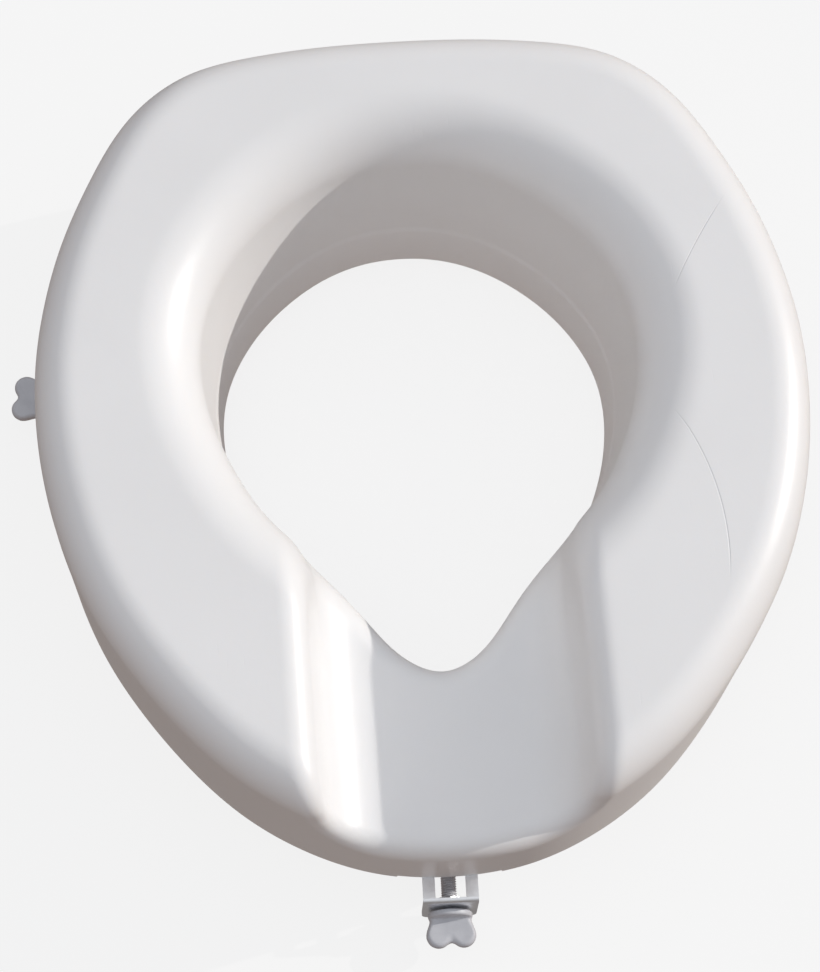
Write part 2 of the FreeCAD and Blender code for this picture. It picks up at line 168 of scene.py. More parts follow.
def seat(x, y, z, do=None, da=None):
    """The seat's solid: negative inside. Millimetres about the plan datum and the rim plane."""
    do = outline(x, y) if do is None else do
    da = aperture(x, y) if da is None else da
    # outer wall, with the parting line of the mould round it
    wall = do + 2.0 * (1 - np.clip(z / 78, 0, 1)) - 0.18 * np.exp(-((z - 67) / 1.3) ** 2)
    f = smax(wall, z - 100, 22.0)
    # funnel, with the crease where the collar starts
    lean = -6.3 + 7.3 * np.clip((z + 26) / 94, 0, 1) + 0.45 * step(4.5, 7.5, z)
    funnel = lean - da
    f = smax(f, funnel, 32.0)
    # hygiene recess
    side = (np.abs(x) - 58 - 11 * (z - 50) / 50) * 0.9766
    tool = smax(side, 50 - z, 20.0)
    tool = np.maximum(tool, y - 30)
    f = smax(f, -tool, 11.0)
    # underside and collar, left a little deep: the flat faces are cut afterwards
    collar = da - 5 - 3 * (np.maximum(z, -30) + 25) / 25
    low = smin(-4.5 - z, collar, 0.5)
    return np.maximum(np.maximum(f, low), -29 - z)


def surface_nets(f, org, h):
    """A quad mesh of f = 0 on a regular grid: one vertex in each cell that the surface crosses."""
    inside = f < 0
    n = [s - 1 for s in f.shape]
    corners = [(a, b, c) for a in (0, 1) for b in (0, 1) for c in (0, 1)]
    total = sum(inside[a:a + n[0], b:b + n[1], c:c + n[2]].astype(np.int8) for a, b, c in corners)
    act = np.argwhere((total > 0) & (total < 8))
    index = -np.ones(n, int)
    index[tuple(act.T)] = np.arange(len(act))
    val = {c: f[tuple((act + c).T)] for c in corners}
    acc, cnt = np.zeros((len(act), 3)), np.zeros(len(act))
    for c in corners:
        for ax in range(3):
            if c[ax]:
                continue
            e = list(c)
            e[ax] = 1
            a, b = val[c], val[tuple(e)]
            cross = (a < 0) != (b < 0)
            t = np.where(cross, a / np.where(cross, a - b, 1), 0)
            pt = np.tile(np.array(c, float), (len(act), 1))
            pt[:, ax] = t
            acc += pt * cross[:, None]
            cnt += cross
    verts = (act + acc / cnt[:, None]) * h + org
    faces = []
    for ax in range(3):
        b, c = np.eye(3, dtype=int)[(ax + 1) % 3], np.eye(3, dtype=int)[(ax + 2) % 3]
        lo = inside.take(range(f.shape[ax] - 1), ax)
        hi = inside.take(range(1, f.shape[ax]), ax)
        at = np.argwhere(lo != hi)
        k1, k2 = (ax + 1) % 3, (ax + 2) % 3
        at = at[(at[:, k1] > 0) & (at[:, k2] > 0) & (at[:, k1] < n[k1]) & (at[:, k2] < n[k2])]
        q = np.stack([index[tuple((at - b - c).T)], index[tuple((at - c).T)],
                      index[tuple(at.T)], index[tuple((at - b).T)]], 1)
        flip = ~lo[tuple(at.T)]
        q[flip] = q[flip][:, ::-1]
        faces.append(q)
    return verts, np.concatenate(faces)


def onto(p, fn, rounds=3, eps=0.2):
    """Moves points onto fn = 0 along its gradient."""
    for _ in range(rounds):
        v = fn(*p.T)
        g = np.stack([(fn(*(p + d).T) - fn(*(p - d).T)) / (2 * eps) for d in np.eye(3) * eps], 1)
        move = g * (v / np.maximum((g * g).sum(1), 1e-3))[:, None]
        size = np.linalg.norm(move, axis=1)
        p = p - move * np.minimum(1, 1.0 / np.maximum(size, 1e-9))[:, None]
    return p


def even(p, faces, fn, rounds=2):
    """Evens the vertices out over the surface."""
    e = np.concatenate([faces[:, [i, (i + 1) % 4]] for i in range(4)])
    for _ in range(rounds):
        acc = np.zeros_like(p)
        for k in range(3):
            acc[:, k] = np.bincount(e[:, 0], p[e[:, 1], k], len(p)) + np.bincount(e[:, 1], p[e[:, 0], k], len(p))
        cnt = np.bincount(e[:, 0], minlength=len(p)) + np.bincount(e[:, 1], minlength=len(p))
        p = onto(p + 0.6 * (acc / cnt[:, None] - p), fn, 1)
    return onto(p, fn, 1)


def implicit(fn, low, high, h, grid=None):
    """The surface of fn between two corners, in quads of about h."""
    ax = [np.arange(a, b + h, h) for a, b in zip(low, high)]
    g = np.meshgrid(*ax, indexing="ij")
    f = (grid or fn)(*g)
    v, faces = surface_nets(f, np.array([a[0] for a in ax]), h)
    v = onto(v, fn)
    return even(v, faces, fn), faces


def seat_grid(x, y, z):
    do = outline(x[:, :, 0], y[:, :, 0])[:, :, None]
    da = aperture(x[:, :, 0], y[:, :, 0])[:, :, None]
    return seat(x, y, z, do, da)


GRID = 2.0
PLAN = np.eye(4)
PLAN[:3, 3] = (0, -BACK, RIM)


# Bracket frames: +X outwards, origin on the flange's outer face at rim height.
def pose(x, y, degrees):
    c, s = math.cos(math.radians(degrees)), math.sin(math.radians(degrees))
    return np.array([[c, -s, 0, x], [s, c, 0, y - BACK], [0, 0, 1, RIM], [0, 0, 0, 1.0]])


POSES = {"front": pose(-3.6, -187.1, -91.7), "left": pose(-198.2, 108.3, 171), "right": pose(198.2, 108.3, 9)}
REACH = {"front": 84.0, "left": 76.0, "right": 76.0}
PADS = []
for sx in (1, -1):
    for px, py, turn in ((130, -25, 60), (112, 190, -48)):
        PADS.append(pose(sx * px, py, turn if sx > 0 else 180 - turn))


# ---------------------------------------------------------------- turned and ringed pieces

N = 72
TH = np.linspace(0, 2 * math.pi, N, endpoint=False)


def circle(r):
    return np.full(N, float(r))


def polygon(flats, sides=6, turn=0.0, corner=0.0):
    """Radius of a regular polygon at each angle, its corners eased off."""
    a = math.pi / sides
    t = (TH + turn) % (2 * a) - a
    r = (flats / 2) / np.cos(t)
    return np.minimum(r, flats / 2 / math.cos(a) - corner)


def stadium(long, wide):
    """Radius of a stadium at each angle."""
    r, half = wide / 2, (long - wide) / 2
    c, s = np.abs(np.cos(TH)), np.abs(np.sin(TH))
    end = half * c + np.sqrt(np.maximum(r * r - (half * s) ** 2, 0))
    flat = r / np.maximum(s, 1e-9)
    return np.where(flat * c <= half, flat, end)


def rounded_box(long, wide, r):
    """Radius of a rectangle with rounded corners at each angle."""
    out = []
    for c, s in zip(np.abs(np.cos(TH)), np.abs(np.sin(TH))):
        a, b = long / 2, wide / 2
        t = min(a / max(c, 1e-9), b / max(s, 1e-9))
        x, y = t * c, t * s
        if x > a - r and y > b - r:
            px, py = a - r, b - r
            k = px * c + py * s
            t = k + math.sqrt(max(k * k - (px * px + py * py - r * r), 0))
        out.append(t)
    return np.array(out)


def rings(stack, hole=False):
    """Joins rings of (radius by angle, height): capped at both ends, or closed on itself."""
    v, f = [], []
    for rho, h in stack:
        v += [(r * math.cos(t), r * math.sin(t), h) for r, t in zip(rho, TH)]
    m = len(stack)
    for k in range(m if hole else m - 1):
        a, b = k * N, ((k + 1) % m) * N
        for i in range(N):
            j = (i + 1) % N
            f.append((a + i, a + j, b + j, b + i))
    if not hole:
        f.append(tuple(range(N - 1, -1, -1)))
        f.append(tuple(range((m - 1) * N, m * N)))
    return np.array(v, float), f


def arc(r0, h0, r1, h1, n=5, bulge=1):
    """Quarter-round steps between two (offset, height) corners."""
    out = []
    for i in range(n + 1):
        a = math.pi / 2 * i / n
        u, w = (math.sin(a), 1 - math.cos(a)) if bulge > 0 else (1 - math.cos(a), math.sin(a))
        out.append((r0 + (r1 - r0) * u, h0 + (h1 - h0) * w))
    return out


def thread(major, minor, pitch, x0, x1, per=10, taper=1.2):
    """A threaded rod along +Z with a true helix, its ends run out."""
    n = int((x1 - x0) / pitch * per)
    stack = []
    for k in range(n + 1):
        h = x0 + (x1 - x0) * k / n
        ph = (h / pitch - TH / (2 * math.pi)) % 1.0
        tri = np.abs(ph * 2 - 1)
        prof = np.clip((tri - 0.14) / 0.68, 0, 1)
        rho = minor + (major - minor) * prof
        end = min(1.0, (h - x0) / taper, (x1 - h) / taper) if taper else 1.0
        stack.append((np.minimum(rho, minor + (major - minor) * max(0.0, end)), h))
    return stack


LIE_X = np.array([[0, 0, 1, 0], [0, 1, 0, 0], [-1, 0, 0, 0], [0, 0, 0, 1.0]])     # turns +Z to +X


def moved(v, m):
    return v @ m[:3, :3].T + m[:3, 3]


def shift(x, y, z):
    m = np.eye(4)
    m[:3, 3] = (x, y, z)
    return m


def joined(*parts):
    v, f, k = [], [], 0
    for pv, pf in parts:
        v.append(np.asarray(pv, float))
        f += [tuple(i + k for i in q) for q in pf]
        k += len(pv)
    return np.concatenate(v), f


# ---------------------------------------------------------------- materials

class Mat:
    def __init__(self, name, rough=0.5, metal=0.0):
        self.m = bpy.data.materials.new(name)
        self.m.use_nodes = True
        self.t = self.m.node_tree
        self.b = next(n for n in self.t.nodes if n.type == "BSDF_PRINCIPLED")
        self.b.inputs["Metallic"].default_value = metal
        self.b.inputs["Roughness"].default_value = rough
        self.p = self.t.nodes.new("ShaderNodeTexCoord").outputs["Object"]
        self.high = None

    def node(self, kind, ins=None, **props):
        n = self.t.nodes.new("ShaderNode" + kind)
        for k, v in props.items():
            setattr(n, k, v)
        for k, v in (ins or {}).items():
            if isinstance(v, bpy.types.NodeSocket):
                self.t.links.new(v, n.inputs[k])
            else:
                n.inputs[k].default_value = v
        return n

    def noise(self, scale, detail=2.0, rough=0.5, vec=None, distort=0.0):
        return self.node("TexNoise", {"Vector": vec or self.p, "Scale": scale, "Detail": detail,
                                      "Roughness": rough, "Distortion": distort}).outputs[0]

    def math(self, op, a, b=0.0, c=0.0):
        n = self.node("Math", operation=op)
        for i, v in enumerate((a, b, c)):
            if isinstance(v, bpy.types.NodeSocket):
                self.t.links.new(v, n.inputs[i])
            else:
                n.inputs[i].default_value = v
        return n.outputs[0]

    def remap(self, v, lo, hi, to_lo=0.0, to_hi=1.0, smoothed=False):
        return self.node("MapRange", {"Value": v, "From Min": lo, "From Max": hi, "To Min": to_lo,
                                      "To Max": to_hi},
                         interpolation_type="SMOOTHSTEP" if smoothed else "LINEAR").outputs[0]

    def mix(self, fac, a, b):
        n = self.node("Mix", data_type="RGBA")
        for i, v in ((0, fac), (6, a), (7, b)):
            if isinstance(v, bpy.types.NodeSocket):
                self.t.links.new(v, n.inputs[i])
            else:
                n.inputs[i].default_value = v if i == 0 else (*v, 1.0)
        return n.outputs[2]

    def bump(self, height, mm, strength=1.0):
        n = self.node("Bump", {"Height": height, "Distance": mm * 0.001, "Strength": strength})
        if self.high is not None:
            self.t.links.new(self.high, n.inputs["Normal"])
        self.high = n.outputs[0]

    def set(self, **ins):
        for k, v in ins.items():
            k = k.replace("_", " ")
            if isinstance(v, bpy.types.NodeSocket):
                self.t.links.new(v, self.b.inputs[k])
            elif isinstance(v, tuple) and len(v) == 3 and k == "Base Color":
                self.b.inputs[k].default_value = (*v, 1.0)
            else:
                self.b.inputs[k].default_value = v
        return self

    def done(self):
        if self.high is not None:
            self.t.links.new(self.high, self.b.inputs["Normal"])
        return self.m


def arc_mark(m, cx, cy, r, y0, y1, width):
    """A hairline along a circle in plan, between two values of y: 1 on the line, 0 off it."""
    v = m.node("SeparateXYZ", {0: m.p}).outputs
    d = m.node("CombineXYZ", {0: m.math("SUBTRACT", v[0], cx), 1: m.math("SUBTRACT", v[1], cy)}).outputs[0]
    ln = m.node("VectorMath", {0: d}, operation="LENGTH").outputs["Value"]
    off = m.math("ABSOLUTE", m.math("SUBTRACT", ln, r))
    line = m.remap(off, width * 0.3, width, 1.0, 0.0, True)
    ends = m.math("MULTIPLY", m.remap(v[1], y0, y0 + 0.02, 0, 1, True), m.remap(v[1], y1 - 0.02, y1, 1, 0, True))
    up = m.math("MULTIPLY", m.remap(v[2], 0.1285, 0.1295), m.remap(v[0], 0.0, 0.01))
    return m.math("MULTIPLY", m.math("MULTIPLY", line, ends), up)


def seat_plastic():
    m = Mat("seat_plastic", 0.36)
    cloud = m.noise(9.0, 3, 0.55)
    fleck = m.noise(420.0, 2, 0.6)
    base = m.mix(m.remap(cloud, 0.35, 0.65), (0.905, 0.905, 0.908), (0.88, 0.88, 0.882))
    # scuffs gather in broad patches
    patch = m.remap(m.noise(26.0, 3, 0.6), 0.52, 0.68, 0, 1, True)
    stretched = m.node("Mapping", {"Vector": m.p, "Rotation": (0, 0, 0.5), "Scale": (520, 40, 60)}).outputs[0]
    hair = m.remap(m.noise(1.0, 2, 0.5, stretched), 0.70, 0.76, 0, 1, True)
    hair = m.math("MULTIPLY", hair, patch)
    marks = m.math("MAXIMUM", arc_mark(m, 0.00084, -0.06395, 0.14067, -0.090, 0.010, 0.0005),
                   arc_mark(m, 0.44744, -0.09088, 0.35644, 0.064, 0.128, 0.0004))
    base = m.mix(m.math("MULTIPLY", marks, 0.35), base, (0.62, 0.63, 0.65))
    rough = m.math("ADD", m.remap(cloud, 0.3, 0.7, 0.33, 0.40), m.math("MULTIPLY", fleck, 0.05))
    rough = m.math("ADD", rough, m.math("MULTIPLY", hair, 0.12))
    m.bump(m.noise(230.0, 2, 0.5), 0.06, 0.55)
    m.bump(m.noise(900.0, 3, 0.6), 0.02, 0.5)
    m.bump(m.noise(38.0, 1, 0.4), 0.25, 0.30)
    m.bump(m.math("SUBTRACT", 0.0, m.math("ADD", marks, m.math("MULTIPLY", hair, 0.3))), 0.12, 1.0)
    m.set(Base_Color=base, Roughness=rough, Subsurface_Weight=0.12, Subsurface_Scale=0.004,
          Subsurface_Radius=(1.0, 0.9, 0.8), IOR=1.52)
    return m.done()


def zinc_steel():
    m = Mat("zinc_steel", 0.34, 1.0)
    spangle = m.node("TexVoronoi", {"Vector": m.p, "Scale": 480.0}).outputs["Color"]
    grey = m.node("RGBToBW", {0: spangle}).outputs[0]
    grain = m.node("Mapping", {"Vector": m.p, "Scale": (300, 4200, 300)}).outputs[0]
    brush = m.noise(1.0, 3, 0.6, grain)
    dull = m.noise(70.0, 4, 0.6)
    base = m.mix(m.remap(dull, 0.4, 0.7), (0.90, 0.92, 0.95), (0.80, 0.82, 0.86))
    base = m.mix(m.math("MULTIPLY", grey, 0.25), base, (0.94, 0.95, 0.97))
    m.bump(brush, 0.02, 0.35)
    m.bump(dull, 0.03, 0.25)
    m.set(Base_Color=base, Roughness=m.math("ADD", m.remap(dull, 0.3, 0.7, 0.26, 0.42),
                                            m.math("MULTIPLY", grey, 0.08)))
    return m.done()


def plain_metal(name, colour, dark, rough, scale=90.0):
    m = Mat(name, rough, 1.0)
    dull = m.noise(scale, 4, 0.6)
    m.bump(m.noise(scale * 14, 2, 0.5), 0.02, 0.4)
    m.set(Base_Color=m.mix(m.remap(dull, 0.42, 0.62), colour, dark),
          Roughness=m.remap(dull, 0.3, 0.7, rough - 0.07, rough + 0.1))
    return m.done()


def moulded(name, colour, shade, rough, peel=0.05, scale=600.0):
    m = Mat(name, rough)
    cloud = m.noise(120.0, 3, 0.55)
    m.bump(m.noise(scale, 2, 0.5), peel, 0.6)
    m.set(Base_Color=m.mix(m.remap(cloud, 0.38, 0.64), colour, shade),
          Roughness=m.remap(cloud, 0.3, 0.7, rough - 0.05, rough + 0.08))
    return m.done()


MATS = {
    "seat_plastic": seat_plastic(),
    "zinc_steel": zinc_steel(),
    "nut_steel": plain_metal("nut_steel", (0.62, 0.63, 0.66), (0.48, 0.49, 0.52), 0.36),
    "screw_steel": plain_metal("screw_steel", (0.60, 0.61, 0.63), (0.45, 0.46, 0.48), 0.32),
    "brass": plain_metal("brass", (0.80, 0.62, 0.30), (0.62, 0.46, 0.22), 0.30),
    # knob_plastic: light grey plastic, with its colour set darker than the real plastic's as painted shade standing in
    # for the shade over the wing's face
    "knob_plastic": moulded("knob_plastic", (0.60, 0.612, 0.65), (0.56, 0.572, 0.61), 0.42),
    "foot_rubber": moulded("foot_rubber", (0.045, 0.045, 0.048), (0.065, 0.065, 0.07), 0.62, 0.08),
    "pad_rubber": moulded("pad_rubber", (0.30, 0.31, 0.32), (0.25, 0.26, 0.27), 0.66, 0.10),
    "washer_plastic": moulded("washer_plastic", (0.66, 0.67, 0.69), (0.60, 0.61, 0.63), 0.45),
}


def finish_piece(ob, node, body, slot):
    ob.data.materials.clear()
    ob.data.materials.append(MATS[slot])
    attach(ob, body)
    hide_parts(node)
    return ob


# ---------------------------------------------------------------- build: seat shell

v, faces = implicit(seat, (-201, -181, -34), (201, 269, 104), GRID, seat_grid)
skin = make("seat_skin", v, faces, PLAN)


def box_mesh(x0, x1, y0, y1, z0, z1):
    pts = [(x, y, z) for x in (x0, x1) for y in (y0, y1) for z in (z0, z1)]
    return np.array(pts, float), [(0, 1, 3, 2), (4, 6, 7, 5), (0, 4, 5, 1), (2, 3, 7, 6), (0, 2, 6, 4), (1, 5, 7, 3)]


def rim_cutter():
    """Everything under the rim and outside the collar, between two heights."""
    q, n = spline(APERTURE, 12)
    m = len(q)
    v = []
    for z, off in ((0.0, 8.0), (-9.0, 6.92)):
        v.append(np.column_stack([q + n * off, np.full(m, z)]))
    far = np.array([0, 40.0]) + (q + n * 8.0 - np.array([0, 60.0])) * 4.2
    v += [np.column_stack([far, np.full(m, z)]) for z in (-9.0, 0.0)]
    f = []
    for k in range(4):
        a, b = k * m, ((k + 1) % 4) * m
        f += [(a + i, a + (i + 1) % m, b + (i + 1) % m, b + i) for i in range(m)]
    return moved(np.concatenate(v), PLAN), f


foot_v, foot_f = box_mesh(-230, 230, -230, 310, -45, -25)
under = [make("cut_r", *rim_cutter()), make("cut_f", moved(foot_v, PLAN), foot_f)]
first, second = [], []
for name, m in POSES.items():
    bv, bf = box_mesh(-REACH[name], 25, -26.5, 26.5, -6, 2.5)
    first.append((moved(bv, m), bf))
    wv, wf = rings([(circle(4.5), 1.0), (circle(4.5), 14.5)])
    second.append((moved(wv, m @ shift(-40, 0, 0)), wf))
for m in PADS:
    pv, pf = rings([(stadium(44, 14), -6), (stadium(44, 14), 1.0)])
    first.append((moved(pv, m), pf))
cutters = under + [make("cut_a", *joined(*first)), make("cut_b", *joined(*second))]
for c in cutters:
    me = c.data
    me.update()
    if sum((p.center - Vector((0, 0, 0))).dot(p.normal) * p.area for p in me.polygons) < 0:
        me.flip_normals()
    mod = skin.modifiers.new("cut", "BOOLEAN")
    mod.operation = "DIFFERENCE"
    mod.solver = "MANIFOLD"
    mod.object = c
settle(skin)
for c in cutters:
    bpy.data.objects.remove(c)
smooth(skin, 35)
finish_piece(skin, "seat_shell", "root", "seat_plastic")


# ---------------------------------------------------------------- build: rim pads

def pad_mesh():
    lv = 44.0, 14.0
    st = [(stadium(lv[0] - 1.2, lv[1] - 1.2), 0.95), (stadium(*lv), 0.6)]
    st += [(stadium(*lv), -2.8)]
    st += [(stadium(lv[0] - 2 * a, lv[1] - 2 * a), b) for a, b in arc(0, -2.8, 1.2, -4.0, 5, -1)]
    st += [(stadium(lv[0] - 5.0, lv[1] - 5.0), -4.0), (stadium(lv[0] - 5.8, lv[1] - 5.8), -3.5),
           (stadium(lv[0] - 7.6, lv[1] - 7.6), -3.5), (stadium(lv[0] - 8.4, lv[1] - 8.4), -4.0)]
    return rings(st)


pads = make("rim_pad_set", *joined(*[(moved(pad_mesh()[0], m), pad_mesh()[1]) for m in PADS]))
smooth(pads, 42)
finish_piece(pads, "rim_pads", "root", "pad_rubber")


# ---------------------------------------------------------------- build: clamp brackets

HALF = 14.0


def strap_mesh():
    """The sheet's outer face: slotted plate, bend, and a flange with its screw hole."""
    v, f, keys = [], [], {}

    def pt(x, y, z):
        k = (round(x, 4), round(y, 4), round(z, 4))
        if k not in keys:
            keys[k] = len(v)
            v.append(k)
        return keys[k]

    ys = [-HALF, -7.8, 7.8, HALF]
    xs = [-70.0, -64.0, -2.6, -2.5]
    top = 2.45
    path = [(x, top) for x in xs]
    for i in range(1, 9):
        a = math.pi / 2 * (1 - i / 8)
        path.append((-2.5 + 2.5 * math.cos(a), top - 2.5 + 2.5 * math.sin(a)))
    for i in range(len(path) - 1):
        for j in range(3):
            if i == 1 and j == 1:
                continue
            (x0, z0), (x1, z1) = path[i], path[i + 1]
            f.append((pt(x0, ys[j], z0), pt(x1, ys[j], z1), pt(x1, ys[j + 1], z1), pt(x0, ys[j + 1], z0)))
    zt, zb, zc, r = top - 2.5, 2.45 - 33.45, -16.0, 6.0
    n = 40
    hole, rim = [], []
    for i in range(n):
        a = 2 * math.pi * (i + 0.5) / n - math.pi / 4
        c, s = math.cos(a), math.sin(a)
        hole.append((4.6 * c, zc + 4.6 * s))
        k = 7.8 / max(abs(c), abs(s))
        rim.append((k * c, zc + k * s))
    quarter = n // 4
    corner = [(7.8, zc - 7.8), (7.8, zc + 7.8), (-7.8, zc + 7.8), (-7.8, zc - 7.8)]
    # snap the square's rim to its corners so that the four sides are complete
    order = []
    for q in range(4):
        order.append((corner[q], None))
        for i in range(quarter):
            order.append((rim[q * quarter + i], hole[q * quarter + i]))
    for i in range(n):
        q0, q1 = i, (i + 1) % n
        a0, a1 = rim[q0], rim[q1]
        h0, h1 = hole[q0], hole[q1]
        ring = [pt(0, *h0), pt(0, *a0)]
        if (i + 1) % quarter == 0:
            ring.append(pt(0, *corner[((i + 1) // quarter) % 4]))
        ring += [pt(0, *a1), pt(0, *h1)]
        f.append(tuple(ring))
    side = {0: [], 1: [], 2: [], 3: []}
    for q in range(4):
        side[q] = [corner[q]] + rim[q * quarter:(q + 1) * quarter] + [corner[(q + 1) % 4]]
    # right of the hole
    arc_r = [(HALF - r + r * math.sin(t), zb + r - r * math.cos(t)) for t in np.linspace(0, math.pi / 2, 9)]
    right = [(7.8, zb)] + arc_r + [(HALF, zt), (7.8, zt)] + side[0][::-1]
    f.append(tuple(pt(0, *q) for q in right))
    left = [(-7.8, zt), (-HALF, zt)] + [(-y, z) for y, z in arc_r[::-1]] + [(-7.8, zb)] + side[2][::-1]
    f.append(tuple(pt(0, *q) for q in left))
    upper = [(7.8, zt), (-7.8, zt)] + side[1][::-1]
    f.append(tuple(pt(0, *q) for q in upper))
    lower = [(-7.8, zb), (7.8, zb)] + side[3][::-1]
    f.append(tuple(pt(0, *q) for q in lower))
    return v, f


def build_strap(name, m):
    v, f = strap_mesh()
    ob = make(name + "_clamp_strap", v, f)
    import bmesh
    bm = bmesh.new()
    bm.from_mesh(ob.data)
    bmesh.ops.remove_doubles(bm, verts=bm.verts, dist=1e-7)
    bmesh.ops.recalc_face_normals(bm, faces=bm.faces)
    bm.faces.ensure_lookup_table()
    if bm.faces[0].normal.z < 0:
        bmesh.ops.reverse_faces(bm, faces=bm.faces)
    bm.to_mesh(ob.data)
    bm.free()
    sol = ob.modifiers.new("sheet", "SOLIDIFY")
    sol.thickness = 0.002
    sol.offset = -1.0
    sol.use_even_offset = True
    bevel(ob, 0.28, 3, 50)
    settle(ob)
    mm = m.copy()
    mm[:3, 3] *= 0.001
    ob.data.transform(Matrix(mm.tolist()))
    return smooth(ob, 30)


def nut_mesh():
    flats, high = 13.0, 4.0
    hexa = polygon(flats, 6, 0.0, 0.12)
    ease = (hexa - 6.35) * math.tan(math.radians(30))
    ease = np.maximum(ease, 0)
    v, f = [], []
    st = [(circle(4.06), 0.7), (circle(4.75), 0.0), (circle(6.3), 0.0)]
    v0, f0 = rings([(circle(4.06), high - 0.7), (circle(4.06), 0.7), (circle(4.75), 0.0), (circle(6.3), 0.0),
                    (hexa, 0.0), (hexa, high), (circle(6.3), high), (circle(4.75), high)], hole=True)
    # the hex rings drop away from the faces towards the corners
    v0[4 * N:5 * N, 2] += ease
    v0[5 * N:6 * N, 2] -= ease
    return v0, [q[::-1] for q in f0]


def wing(x, y, z):
    """The butterfly head: negative inside. x runs outwards from the flange, z across the wings' faces."""
    y = np.abs(y)
    lobes = smin(np.hypot(x - 13.0, y - 6.4) - 6.2, np.hypot(x - 13.0, y + 6.4) - 6.2, 4.2)
    web = np.maximum(np.abs(x - 7.0) - 5.5, y - 10.7)
    flat = smin(lobes, web, 2.5)
    dish = 0.3 * np.exp(-(((x - 11.5) / 6.5) ** 2 + (y / 8.5) ** 2) ** 2)
    head = smax(flat, np.abs(z) - 3.0 + dish, 2.6)
    r = np.hypot(y, z)
    collar = smax(r - 11.25, np.abs(x - 2.8) - 1.6, 1.1)
    return smin(head, collar, 1.0)


def wing_mesh():
    v, f = implicit(wing, (0.2, -13.5, -12.5), (20.4, 13.5, 12.5), 0.38)
    return v, [tuple(q) for q in f.tolist()]


WING = wing_mesh()


def screw_parts():
    rod = thread(4.0, 3.25, 1.25, -31.0, 1.6, 10, 1.0)
    tip = [(circle(1.4), -39.0), (circle(2.6), -38.7), (circle(3.2), -37.6), (circle(3.2), -36.2),
           (circle(2.5), -35.0), (circle(2.5), -31.4), (circle(3.0), -31.05)]
    rv, rf = rings(tip + rod)
    return joined(WING, (moved(rv, LIE_X), rf))


def foot_mesh():
    st = [(circle(0.3), -39.3), (circle(3.4), -39.3), (circle(3.4), -36.05), (circle(2.66), -34.8),
          (circle(2.66), -31.6), (circle(3.2), -31.25), (circle(5.9), -31.3)]
    st += [(circle(r), h) for r, h in arc(5.9, -31.3, 6.5, -31.9, 3, 1)]
    st += [(circle(6.5), -35.4), (circle(6.9), -35.85), (circle(7.4), -36.0), (circle(9.2), -36.0)]
    st += [(circle(r), h) for r, h in arc(9.2, -36.0, 10.0, -36.8, 4, 1)]
    st += [(circle(10.0), -41.0)]
    st += [(circle(r), h) for r, h in arc(10.0, -41.0, 9.0, -42.0, 4, -1)]
    for k in (8.0, 6.0, 4.0):
        st += [(circle(k + 0.35), -42.0), (circle(k + 0.1), -41.4), (circle(k - 0.3), -41.4), (circle(k - 0.55), -42.0)]
    st += [(circle(1.0), -42.0), (circle(0.4), -42.0)]
    v, f = rings(st)
    return moved(v, LIE_X), f


def washer_mesh():
    top = 0.40
    u = top - 1.2
    a = rounded_box(18, 24, 1.2)
    b = rounded_box(12, 15.4, 0.6)
    st = [(circle(3.15), top + 1.8), (circle(3.15), u + 0.2), (circle(3.4), u), (a - 0.4, u), (a, u + 0.3), (a, top - 0.2),
          (a - 0.2, top), (b, top), (b, top + 1.9), (b - 0.1, top + 2.0), (circle(3.3), top + 2.0)]
    v, f = rings(st, hole=True)
    return v, [q[::-1] for q in f]


def clamp_mesh():
    under = 0.40 - 1.2
    hx = polygon(4.0, 6)
    low = under - 2.3
    st = [(hx * 0.3, low + 1.55), (hx, low + 1.6), (hx, low + 0.15), (hx + 0.15, low), (circle(4.3), low)]
    st += [(circle(r), h) for r, h in arc(4.3, low, 5.75, low + 1.4, 6, 1)]
    st += [(circle(5.75), under - 0.2), (circle(5.55), under), (circle(3.0), under)]
    st += thread(2.95, 2.4, 1.0, under + 0.05, under + 15.0, 8, 0.8)
    v, f = rings(st)
    return v, [q[::-1] for q in f]


def insert_mesh():
    knurl = 4.5 - 0.16 * (1 + np.cos(TH * 24)) / 2
    st = [(circle(3.0), 14.0), (circle(3.0), 2.9), (circle(3.3), 2.52), (circle(4.2), 2.52), (circle(4.35), 2.7),
          (circle(4.35), 3.6), (knurl, 3.8), (knurl, 8.0), (circle(4.1), 8.1), (circle(4.1), 9.4), (knurl, 9.5),
          (knurl, 14.0), (circle(4.2), 14.5), (circle(3.2), 14.5)]
    v, f = rings(st, hole=True)
    return v, [q[::-1] for q in f]


for name, m in POSES.items():
    screw_axis = m @ shift(0, 0, -16)
    clamp_axis = m @ shift(-40, 0, 0)
    strap = build_strap(name, m)
    finish_piece(strap, name + "_strap", name + "_bracket", "zinc_steel")

    nv, nf = nut_mesh()
    nut = make(name + "_weld_nut", moved(moved(nv, LIE_X), shift(-6.0, 0, 0)), nf, screw_axis)
    finish_piece(smooth(nut, 28), name + "_flange_nut", name + "_bracket", "nut_steel")

    sv, sf = screw_parts()
    screw = make(name + "_butterfly_screw", sv, sf, screw_axis)
    finish_piece(smooth(screw, 50), name + "_wing_screw", name + "_screw", "knob_plastic")

    fv, ff = foot_mesh()
    foot = make(name + "_rubber_foot", fv, ff, screw_axis)
    finish_piece(smooth(foot, 40), name + "_pressure_foot", name + "_foot", "foot_rubber")

    wv, wf = washer_mesh()
    washer = make(name + "_guide_plate", wv, wf, clamp_axis)
    finish_piece(smooth(washer, 35), name + "_guide_washer", "root", "washer_plastic")

    cv, cf = clamp_mesh()
    clamp = make(name + "_socket_screw", cv, cf, clamp_axis)
    finish_piece(smooth(clamp, 35), name + "_clamp_screw", "root", "screw_steel")

    iv, fi = insert_mesh()
    ins = make(name + "_brass_insert", iv, fi, clamp_axis)
    finish_piece(smooth(ins, 35), name + "_threaded_insert", "root", "brass")


# ---------------------------------------------------------------- stage, camera, light

